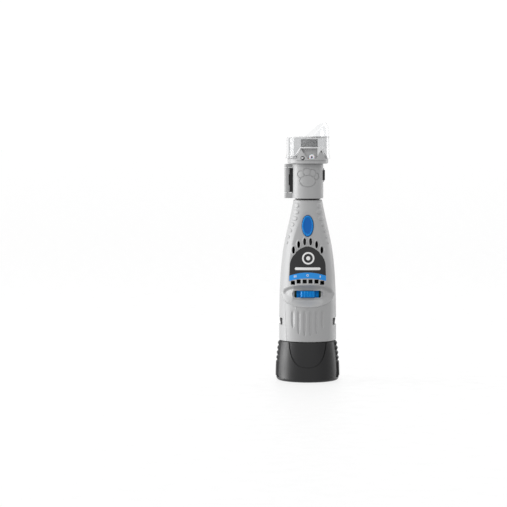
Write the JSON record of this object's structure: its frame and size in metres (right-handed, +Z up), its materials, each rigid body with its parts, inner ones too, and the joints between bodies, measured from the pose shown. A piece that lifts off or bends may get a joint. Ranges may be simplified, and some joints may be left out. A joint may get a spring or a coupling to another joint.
{
  "type": "pet nail grinder",
  "caption": "Upright cordless rotary pet nail grinder with a tapered grey housing, plug-in battery pack, clamp collar and clear nail guard.",
  "frame": {"origin": "centre of the foot's underside, on the spindle axis", "axes": "+Z up along the spindle, controls facing -Y, clamp hinge on the -X side"},
  "size_m": [0.047, 0.0458, 0.1898],
  "materials": {
    "housing_grey": "satin moulded ABS",
    "collar_grey": "satin moulded ABS",
    "ring_grey": "satin moulded ABS",
    "battery_charcoal": "fine spark-eroded texture",
    "latch_charcoal": "fine texture",
    "black_plastic": "plain moulded",
    "nose_black": "glass-filled nylon",
    "bushing_grey": "glass-filled nylon",
    "button_blue": "satin",
    "slider_blue": "satin",
    "label_black": "glossy film",
    "guard_clear": "clear moulded polycarbonate",
    "tab_clear": "frosted polycarbonate",
    "bearing_steel": "ground",
    "nut_steel": "zinc plated",
    "spring_steel": "drawn wire",
    "screw_steel": "zinc plated",
    "motor_steel": "black zinc plated, deep drawn",
    "core_steel": "laminated",
    "magnet_ferrite": "sintered ferrite",
    "copper": "enamelled copper",
    "contact_brass": "plated",
    "carbon": "pressed carbon",
    "board_green": "glass-epoxy board",
    "lead_red": "insulated wire",
    "lead_black": "insulated wire",
    "cell_wrap": "shrink-wrapped cell",
    "pad_rubber": "soft liner"
  },
  "bodies": {
    "tool": {"front_housing": "housing_grey", "rear_housing": "housing_grey", "housing_screws": "screw_steel", "label_plate": "label_black", "lock_guide": "black_plastic", "lock_spring": "spring_steel", "slide_switch": "black_plastic", "circuit_board": "board_green", "contact_block": "black_plastic", "contact_springs": "contact_brass", "positive_lead": "lead_red", "negative_lead": "lead_black", "motor_can": "motor_steel", "motor_end_cap": "black_plastic", "motor_magnets": "magnet_ferrite", "motor_brushes": "carbon", "front_bearing_outer_race": "bearing_steel", "front_bearing_balls": "bearing_steel", "rear_bearing_outer_race": "bearing_steel", "rear_bearing_balls": "bearing_steel", "nose_bushing": "bushing_grey", "nose_cap": "nose_black"},
    "spindle": {"motor_shaft": "bearing_steel", "armature_core": "core_steel", "armature_windings": "copper", "commutator": "copper", "shaft_coupling": "black_plastic", "spindle_shaft": "bearing_steel", "front_bearing_inner_race": "bearing_steel", "rear_bearing_inner_race": "bearing_steel", "collet": "bearing_steel"},
    "nut": {"collet_nut": "nut_steel"},
    "lock": {"lock_button": "button_blue", "lock_pin": "bearing_steel"},
    "slider": {"speed_slider": "slider_blue"},
    "battery": {"battery_case": "battery_charcoal", "battery_base": "battery_charcoal", "battery_screws": "screw_steel", "battery_cells": "cell_wrap", "cell_links": "bearing_steel", "battery_tower_cap": "black_plastic", "battery_terminals": "contact_brass", "left_latch_pin": "bearing_steel", "right_latch_pin": "bearing_steel", "left_latch_spring": "spring_steel", "right_latch_spring": "spring_steel"},
    "left_latch": {"left_latch": "latch_charcoal"},
    "right_latch": {"right_latch": "latch_charcoal"},
    "collar": {"collar_rear": "collar_grey", "rear_clamp_pad": "pad_rubber", "retaining_ring": "spring_steel", "hinge_plate": "black_plastic", "hinge_pin": "bearing_steel", "gate_latch_pin": "bearing_steel"},
    "gate": {"collar_gate": "collar_grey", "gate_clamp_pad": "pad_rubber"},
    "gate_latch": {"gate_latch": "latch_charcoal"},
    "ring": {"guard_ring": "ring_grey", "guard_release_tab": "tab_clear"},
    "guard": {"clear_guard": "guard_clear"}
  },
  "joints": [
    {"name": "spindle_spin", "type": "hinge", "parent": "tool", "child": "spindle", "pos_m": [0, 0, 0.12], "axis": [0, 0, 1], "continuous": true},
    {"name": "nut_turn", "type": "hinge", "parent": "spindle", "child": "nut", "pos_m": [0, 0, 0.165], "axis": [0, 0, 1], "range_deg": [0, 300]},
    {"name": "lock_press", "type": "slide", "parent": "tool", "child": "lock", "axis": [0, 1, 0], "range_m": [0, 0.0024], "stiffness_N_per_m": 400, "springref_m": -0.002, "deforming": ["lock_spring"]},
    {"name": "slider_slide", "type": "slide", "parent": "tool", "child": "slider", "axis": [1, 0, 0], "range_m": [-0.004, 0.004]},
    {"name": "battery_slide", "type": "slide", "parent": "tool", "child": "battery", "axis": [0, 0, -1], "range_m": [0, 0.034]},
    {"name": "left_latch_squeeze", "type": "hinge", "parent": "battery", "child": "left_latch", "pos_m": [-0.0188, 0, 0.0055], "axis": [0, 1, 0], "range_deg": [0, 2], "stiffness_Nm_per_rad": 0.25, "springref_deg": -2.86, "deforming": ["left_latch_spring"]},
    {"name": "right_latch_squeeze", "type": "hinge", "parent": "battery", "child": "right_latch", "pos_m": [0.0188, 0, 0.0055], "axis": [0, -1, 0], "range_deg": [0, 2], "stiffness_Nm_per_rad": 0.25, "springref_deg": -2.86, "deforming": ["right_latch_spring"]},
    {"name": "collar_slide", "type": "slide", "parent": "tool", "child": "collar", "axis": [0, 0, 1], "range_m": [0, 0.045]},
    {"name": "gate_swing", "type": "hinge", "parent": "collar", "child": "gate", "pos_m": [-0.0152, 0, 0.146], "axis": [0, 0, -1], "range_deg": [0, 110]},
    {"name": "gate_latch_lift", "type": "hinge", "parent": "collar", "child": "gate_latch", "pos_m": [0.01155, 0.0044, 0.15], "axis": [0, 0, 1], "range_deg": [0, 35], "stiffness_Nm_per_rad": 0.005, "springref_deg": -5.73},
    {"name": "ring_turn", "type": "hinge", "parent": "collar", "child": "ring", "pos_m": [0, 0, 0.1605], "axis": [0, 0, 1], "range_deg": [-90, 90]},
    {"name": "guard_lift", "type": "slide", "parent": "ring", "child": "guard", "axis": [0, 0, 1], "range_m": [0, 0.025]}
  ]
}
